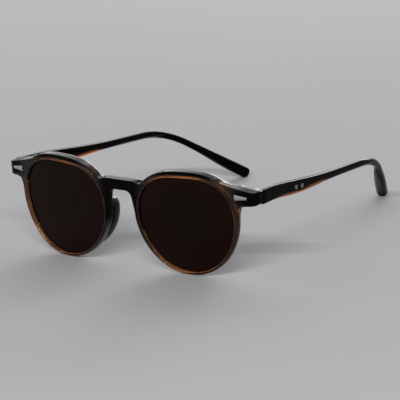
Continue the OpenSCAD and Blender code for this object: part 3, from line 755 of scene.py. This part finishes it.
def mix(nt, fac, a, b):
    """Colour between a and b. Each value is a number, a colour or the output of another node."""
    m = nt.nodes.new("ShaderNodeMix")
    m.data_type = "RGBA"
    for value, key in ((fac, 0), (a, 6), (b, 7)):
        if isinstance(value, (int, float)):
            m.inputs[key].default_value = value
        elif isinstance(value, tuple):
            m.inputs[key].default_value = (*value, 1)
        else:
            nt.links.new(value, m.inputs[key])
    return m.outputs[2]


def maths(nt, op, a, b=None, clamp=False):
    """Result of a sum. Each value is a number or the output of another node."""
    m = nt.nodes.new("ShaderNodeMath")
    m.operation = op
    m.use_clamp = clamp
    for value, key in ((a, 0), (b, 1)):
        if value is None:
            continue
        if isinstance(value, (int, float)):
            m.inputs[key].default_value = value
        else:
            nt.links.new(value, m.inputs[key])
    return m.outputs[0]


def bump(nt, bsdf, height, strength, distance):
    b = nt.nodes.new("ShaderNodeBump")
    b.inputs["Strength"].default_value = strength
    b.inputs["Distance"].default_value = distance
    nt.links.new(height, b.inputs["Height"])
    nt.links.new(b.outputs["Normal"], bsdf.inputs["Normal"])


def spread(nt, fac, lo, hi):
    m = nt.nodes.new("ShaderNodeMapRange")
    m.inputs["To Min"].default_value = lo
    m.inputs["To Max"].default_value = hi
    nt.links.new(fac, m.inputs["Value"])
    return m.outputs["Result"]


def falling(nt, value, start, end):
    """1 up to start, and smoothly down to 0 at end."""
    m = nt.nodes.new("ShaderNodeMapRange")
    m.interpolation_type = "SMOOTHSTEP"
    for key, v in (("From Min", start), ("From Max", end), ("To Min", 1.0), ("To Max", 0.0)):
        m.inputs[key].default_value = v
    nt.links.new(value, m.inputs["Value"])
    return m.outputs["Result"]


def nearness(nt, centre, reach, core, tilt=0):
    """1 inside an ellipsoid round a centre in mm, falling to 0 at its edge, the same on both sides."""
    mp = nt.nodes.new("ShaderNodeMapping")
    mp.vector_type = "TEXTURE"
    mp.inputs["Location"].default_value = [v / 1000 for v in centre]
    mp.inputs["Scale"].default_value = [v / 1000 for v in reach]
    mp.inputs["Rotation"].default_value = (radians(tilt), 0, 0)
    nt.links.new(two_sided_position(nt), mp.inputs["Vector"])
    length = nt.nodes.new("ShaderNodeVectorMath")
    length.operation = "LENGTH"
    nt.links.new(mp.outputs["Vector"], length.inputs[0])
    return falling(nt, length.outputs["Value"], core, 1.0)


def rim_glow_strip(nt):
    """1 on a thin strip along the lens opening, wider at its top, falling to 0 beyond it, where the glow of
    light through the rim is painted.
    """
    parts = nt.nodes.new("ShaderNodeSeparateXYZ")
    nt.links.new(two_sided_position(nt), parts.inputs[0])
    x = maths(nt, "SUBTRACT", maths(nt, "MULTIPLY", parts.outputs["X"], 1000.0), LENS_X)
    z = maths(nt, "SUBTRACT", maths(nt, "MULTIPLY", parts.outputs["Z"], 1000.0), LENS_Z)
    a = maths(nt, "ARCTAN2", z, x)
    r = maths(nt, "SQRT", maths(nt, "ADD", maths(nt, "MULTIPLY", x, x), maths(nt, "MULTIPLY", z, z)))
    edge = OPENING_RADIUS
    for height, turns, wave in OPENING_WAVES:
        swing = maths(nt, wave, maths(nt, "MULTIPLY", a, turns))
        edge = maths(nt, "ADD", edge, maths(nt, "MULTIPLY", swing, height))
    width = maths(nt, "ADD", STRIP_WIDTH, maths(nt, "MULTIPLY", maths(nt, "SINE", a), STRIP_EXTRA))
    return falling(nt, maths(nt, "DIVIDE", maths(nt, "SUBTRACT", r, edge), width), 0.6, 1.4)


def acetate_material(name, density, level, dark_zones, glow_zones=(), strip=False):
    """Polished brown acetate: see-through where it is thin, with dark parts, faint streaks, fine wear, and
    painted glow of light coming through the rim along the lens opening and through the temples' lower edges.
    """
    m, nt, bsdf = new_material(name)
    streaks = noise(nt, position(nt, (0.6, 0.6, 3.0)), 120, 4, 0.6, 0.4)
    base = ramp(nt, streaks, 0.35, 0.65, CLEAR_STREAKS)
    dark = ramp(nt, streaks, 0.35, 0.7, DARK_STREAKS)
    haze = spread(nt, streaks, *HAZE)
    zone = 0.0
    for centre, reach, core in dark_zones:
        zone = maths(nt, "MAXIMUM", zone, nearness(nt, centre, reach, core))
    # Clear strip along the lens opening, painted with the amber glow of light coming through the rim
    if strip:
        near = rim_glow_strip(nt)
        base = mix(nt, 0.8, base, RIM_BROWN)
        cloud = noise(nt, position(nt), 55, 2, 0.5)
        dim = tuple(0.3 * c for c in RIM_GLOW_AMBER)
        base = mix(nt, near, base, ramp(nt, cloud, 0.42, 0.58, (dim, RIM_GLOW_AMBER)))
        zone = maths(nt, "MULTIPLY", zone, maths(nt, "SUBTRACT", 1.0, near))
    # Clear lines along the temples' lower edges, painted with the glow of light coming through them
    for colour, centre, reach, core, tilt in glow_zones:
        near = nearness(nt, centre, reach, core, tilt)
        base = mix(nt, near, base, colour)
        zone = maths(nt, "SUBTRACT", zone, near, True)
    # The colour darkens before the acetate turns opaque, so that no milky band shows between
    opaque = maths(nt, "MAXIMUM", haze, maths(nt, "POWER", zone, 4.0))
    nt.links.new(mix(nt, maths(nt, "MULTIPLY", zone, 1.6, True), base, dark), bsdf.inputs["Base Color"])
    nt.links.new(maths(nt, "SUBTRACT", 1.0, opaque, True), bsdf.inputs["Transmission Weight"])
    wear = noise(nt, position(nt), 900, 3, 0.6)
    nt.links.new(spread(nt, wear, 0.03, 0.08), bsdf.inputs["Roughness"])
    bsdf.inputs["IOR"].default_value = 1.49
    bsdf.inputs["Specular IOR Level"].default_value = level
    bsdf.inputs["Specular Tint"].default_value = (0.75, 0.70, 0.65, 1)
    bump(nt, bsdf, noise(nt, position(nt), 260, 2, 0.5), 0.02, 0.0003)
    soak = nt.nodes.new("ShaderNodeVolumeAbsorption")
    soak.inputs["Color"].default_value = (*SOAK, 1)
    soak.inputs["Density"].default_value = density
    nt.links.new(soak.outputs[0], nt.nodes["Material Output"].inputs["Volume"])
    return m


def lens_material():
    """Dark brown tint, with a painted greenish reflection towards the middle, faint clouds and fine wear."""
    m, nt, bsdf = new_material("lens_tint")
    tint = noise(nt, position(nt), 32, 3, 0.5, 0.3)
    red = ramp(nt, tint, 0.3, 0.7, LENS_REDS)
    # Painted reflection: greener towards the middle of the lens
    middle = nearness(nt, (LENS_X, 4, LENS_Z + 4), (22, 20, 22), 0.1)
    base = mix(nt, maths(nt, "MULTIPLY", middle, 0.75), red, LENS_MIDDLE_REFLECTION)
    nt.links.new(base, bsdf.inputs["Base Color"])
    wear = noise(nt, position(nt), 1200, 2, 0.5)
    nt.links.new(spread(nt, wear, 0.03, 0.07), bsdf.inputs["Roughness"])
    bsdf.inputs["IOR"].default_value = 1.5
    bsdf.inputs["Specular IOR Level"].default_value = 0.07
    return m


def metal_material(name, colour, rough, brushed=False):
    m, nt, bsdf = new_material(name)
    grain = noise(nt, position(nt, (1, 1, 12) if brushed else (1, 1, 1)), 1500, 3, 0.6)
    tone = ramp(nt, grain, 0.3, 0.7, (tuple(c * 0.85 for c in colour), colour))
    nt.links.new(tone, bsdf.inputs["Base Color"])
    bsdf.inputs["Metallic"].default_value = 1.0
    nt.links.new(spread(nt, grain, rough * 0.8, rough * 1.3), bsdf.inputs["Roughness"])
    bump(nt, bsdf, grain, 0.15 if brushed else 0.05, 0.0001)
    return m


def dress(obj, material):
    obj.data.materials.clear()
    obj.data.materials.append(material)


METAL_EDGE = 0.00008  # in metres


def dress_metal():
    """The metal nodes stay, with better materials and finely rounded edges."""
    plaque = metal_material("plaque_metal", (0.62, 0.62, 0.60), 0.2)
    rivet = metal_material("rivet_metal", (0.30, 0.29, 0.27), 0.35)
    hinge = metal_material("hinge_metal", (0.55, 0.55, 0.56), 0.28, brushed=True)
    for node, obj in frame["nodes"].items():
        if obj.hide_render:
            continue
        dress(obj, plaque if "plaque" in node else rivet if "rivets" in node else hinge)
        edge = obj.modifiers.new("edge", "BEVEL")
        edge.width = METAL_EDGE
        edge.segments = 2
        edge.limit_method = "ANGLE"


# Floor, light and background, in metres
BACKDROP = (0.45, 0.45, 0.455)
WORLD_LIGHT = (0.16, 0.16, 0.165)
FLOOR_TONES = ((0.60, 0.60, 0.61), (0.63, 0.63, 0.64))
FLOOR_HALF = 6.0
FLOOR_REACH = 1500  # in mm, how far from the sunglasses the floor has become the background


def seen_rays(nt):
    """1 for the rays by which the camera sees a surface, straight or in gloss or glass."""
    rays = nt.nodes.new("ShaderNodeLightPath")
    seen = maths(nt, "MAXIMUM", rays.outputs["Is Camera Ray"], rays.outputs["Is Glossy Ray"])
    return maths(nt, "MAXIMUM", seen, rays.outputs["Is Transmission Ray"])


def build_floor():
    """Paper floor that fades into the colour of the background far from the sunglasses."""
    m, nt, bsdf = new_material("floor_paper")
    close = nearness(nt, (0, 50, 0), (FLOOR_REACH, FLOOR_REACH, FLOOR_REACH), 0.4)
    glow = nt.nodes.new("ShaderNodeEmission")
    glow.inputs["Color"].default_value = (*BACKDROP, 1)
    blend = nt.nodes.new("ShaderNodeMixShader")
    nt.links.new(maths(nt, "MULTIPLY", maths(nt, "SUBTRACT", 1.0, close), seen_rays(nt)), blend.inputs[0])
    nt.links.new(bsdf.outputs[0], blend.inputs[1])
    nt.links.new(glow.outputs[0], blend.inputs[2])
    nt.links.new(blend.outputs[0], nt.nodes["Material Output"].inputs["Surface"])
    tone = noise(nt, position(nt), 3, 3, 0.5)
    nt.links.new(ramp(nt, tone, 0.3, 0.7, FLOOR_TONES), bsdf.inputs["Base Color"])
    bsdf.inputs["Roughness"].default_value = 0.9
    bsdf.inputs["Specular IOR Level"].default_value = 0.1
    h = FLOOR_HALF
    mesh = bpy.data.meshes.new("floor")
    mesh.from_pydata([(-h, -h, 0), (h, -h, 0), (h, h, 0), (-h, h, 0)], [], [(0, 1, 2, 3)])
    floor = bpy.data.objects.new("floor", mesh)
    bpy.context.scene.collection.objects.link(floor)
    dress(floor, m)


def area_light(name, spot, target, size, power):
    """Lamp in the form of a rectangle that shines from a spot to a target, with its power in watts."""
    data = bpy.data.lights.new(name, "AREA")
    data.shape = "RECTANGLE"
    data.size, data.size_y = size
    data.energy = power
    lamp = bpy.data.objects.new(name, data)
    lamp.location = spot
    lamp.rotation_mode = "QUATERNION"
    lamp.rotation_quaternion = (Vector(target) - Vector(spot)).to_track_quat("-Z", "Y")
    lamp.visible_camera = False
    bpy.context.scene.collection.objects.link(lamp)


def build_world():
    world = bpy.data.worlds.new("studio")
    bpy.context.scene.world = world
    world.use_nodes = True
    nt = world.node_tree
    nt.nodes.clear()
    out = nt.nodes.new("ShaderNodeOutputWorld")
    shade = nt.nodes.new("ShaderNodeBackground")
    nt.links.new(mix(nt, seen_rays(nt), WORLD_LIGHT, BACKDROP), shade.inputs["Color"])
    nt.links.new(shade.outputs[0], out.inputs[0])


set_camera()

acetate = acetate_material("acetate_front", 550, 0.06, DARK_FRONT, strip=True)
acetate_arm = acetate_material("acetate_temple", 600, 0.05, DARK_TEMPLE, TEMPLE_GLOW_LINES)
acetate_pad = acetate_material("acetate_pad", 2600, 0.05, DARK_PAD)
tint = lens_material()

dress(build_front(), acetate)
for side, sign in SIDES:
    dress(build_lens(side, sign), tint)
    dress(build_pad(side, sign), acetate_pad)
    dress(build_temple(side, sign), acetate_arm)
dress_metal()

build_floor()
area_light("rear_panel", (-0.80, 1.20, 0.72), (0, 0.05, 0.06), (1.9, 1.25), 13)
area_light("rear_strip", (-0.30, 1.45, 0.42), (0, 0.05, 0.03), (0.9, 0.3), 5)
area_light("front_strip", (0.5, -1.0, 0.95), (0, 0.05, 0.02), (1.1, 0.06), 11)
build_world()

bpy.context.scene.view_settings.view_transform = "Standard"
